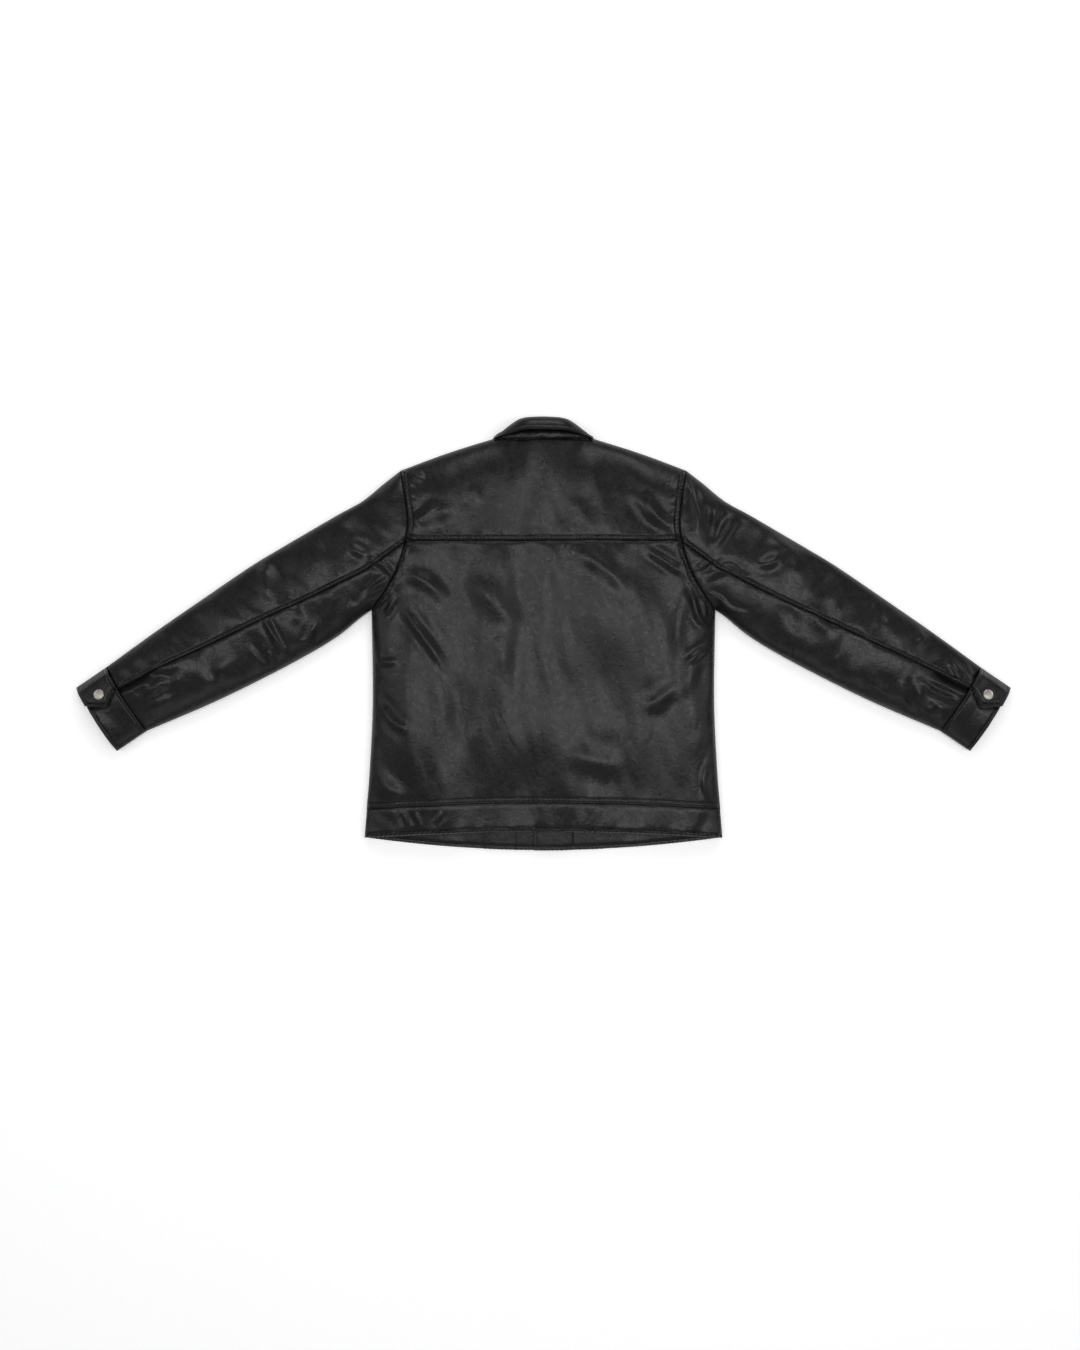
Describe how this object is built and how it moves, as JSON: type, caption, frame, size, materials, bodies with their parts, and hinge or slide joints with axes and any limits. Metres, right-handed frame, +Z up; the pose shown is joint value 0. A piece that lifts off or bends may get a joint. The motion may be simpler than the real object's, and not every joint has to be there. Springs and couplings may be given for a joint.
{
  "type": "leather jacket",
  "caption": "Waist-length black leather jacket with a turn-down collar, snap front and tabbed cuffs, lying face down with its sleeves spread.",
  "frame": {"origin": "middle of the jacket's box, on the surface that it lies on", "axes": "+X to the right of the back from cuff to cuff, +Y towards the collar, +Z up"},
  "size_m": [1.532, 0.706, 0.066],
  "materials": {
    "leather": "semi-matt grained black leather",
    "lining": "plain woven black lining",
    "snap_metal": "satin nickel plate"
  },
  "bodies": {
    "torso": {"back_yoke": "leather", "back_panel": "leather", "back_waistband": "leather", "back_lining": "lining", "neck_facing": "leather", "hanger_loop": "leather", "collar_stand": "leather", "front_side_left": "leather", "side_waistband_left": "leather", "side_lining_left": "lining", "front_side_right": "leather", "side_waistband_right": "leather", "side_lining_right": "lining"},
    "collar": {"collar_leaf": "leather"},
    "front_left_flap": {"front_left": "leather", "facing_left": "leather", "waistband_end_left": "leather", "collar_point_left": "leather", "front_cap_1": "snap_metal", "front_cap_2": "snap_metal", "front_cap_3": "snap_metal", "front_cap_4": "snap_metal", "front_cap_5": "snap_metal", "front_cap_6": "snap_metal", "front_socket_1": "snap_metal", "front_socket_2": "snap_metal", "front_socket_3": "snap_metal", "front_socket_4": "snap_metal", "front_socket_5": "snap_metal", "front_socket_6": "snap_metal"},
    "front_right_flap": {"front_right": "leather", "facing_right": "leather", "waistband_end_right": "leather", "collar_point_right": "leather", "front_stud_1": "snap_metal", "front_stud_2": "snap_metal", "front_stud_3": "snap_metal", "front_stud_4": "snap_metal", "front_stud_5": "snap_metal", "front_stud_6": "snap_metal"},
    "sleeve_left": {"upper_sleeve_left": "leather", "under_sleeve_left": "leather", "sleeve_lining_left": "lining", "cuff_left": "leather", "cuff_stud_left": "snap_metal"},
    "cuff_tab_left": {"cuff_tab_left": "leather", "cuff_cap_left": "snap_metal", "cuff_socket_left": "snap_metal"},
    "sleeve_right": {"upper_sleeve_right": "leather", "under_sleeve_right": "leather", "sleeve_lining_right": "lining", "cuff_right": "leather", "cuff_stud_right": "snap_metal"},
    "cuff_tab_right": {"cuff_tab_right": "leather", "cuff_cap_right": "snap_metal", "cuff_socket_right": "snap_metal"}
  },
  "joints": [
    {"name": "collar_turn", "type": "hinge", "parent": "torso", "child": "collar", "pos_m": [0, 0.352, 0.0462], "axis": [-1, 0, 0], "range_deg": [0, 105]},
    {"name": "front_left_open", "type": "hinge", "parent": "torso", "child": "front_left_flap", "pos_m": [-0.085, 0, 0], "axis": [0, 1, 0], "range_deg": [0, 165]},
    {"name": "front_right_open", "type": "hinge", "parent": "torso", "child": "front_right_flap", "pos_m": [0.085, 0, 0], "axis": [0, -1, 0], "range_deg": [0, 82.5]},
    {"name": "sleeve_left_fold", "type": "hinge", "parent": "torso", "child": "sleeve_left", "pos_m": [-0.25775, 0.1555, 0.046], "axis": [0.2072, 0.9783, 0], "range_deg": [0, 110]},
    {"name": "sleeve_right_fold", "type": "hinge", "parent": "torso", "child": "sleeve_right", "pos_m": [0.25775, 0.1555, 0.046], "axis": [0.2072, -0.9783, 0], "range_deg": [0, 110]},
    {"name": "cuff_tab_left_open", "type": "hinge", "parent": "sleeve_left", "child": "cuff_tab_left", "pos_m": [-0.741, -0.069, 0.01], "axis": [-0.8269, -0.5623, 0], "range_deg": [0, 110]},
    {"name": "cuff_tab_right_open", "type": "hinge", "parent": "sleeve_right", "child": "cuff_tab_right", "pos_m": [0.741, -0.069, 0.01], "axis": [-0.8269, 0.5623, 0], "range_deg": [0, 110]}
  ],
  "couplings": [
    {"joint": "front_right_open", "follows": "front_left_open", "ratio": 0.5}
  ]
}
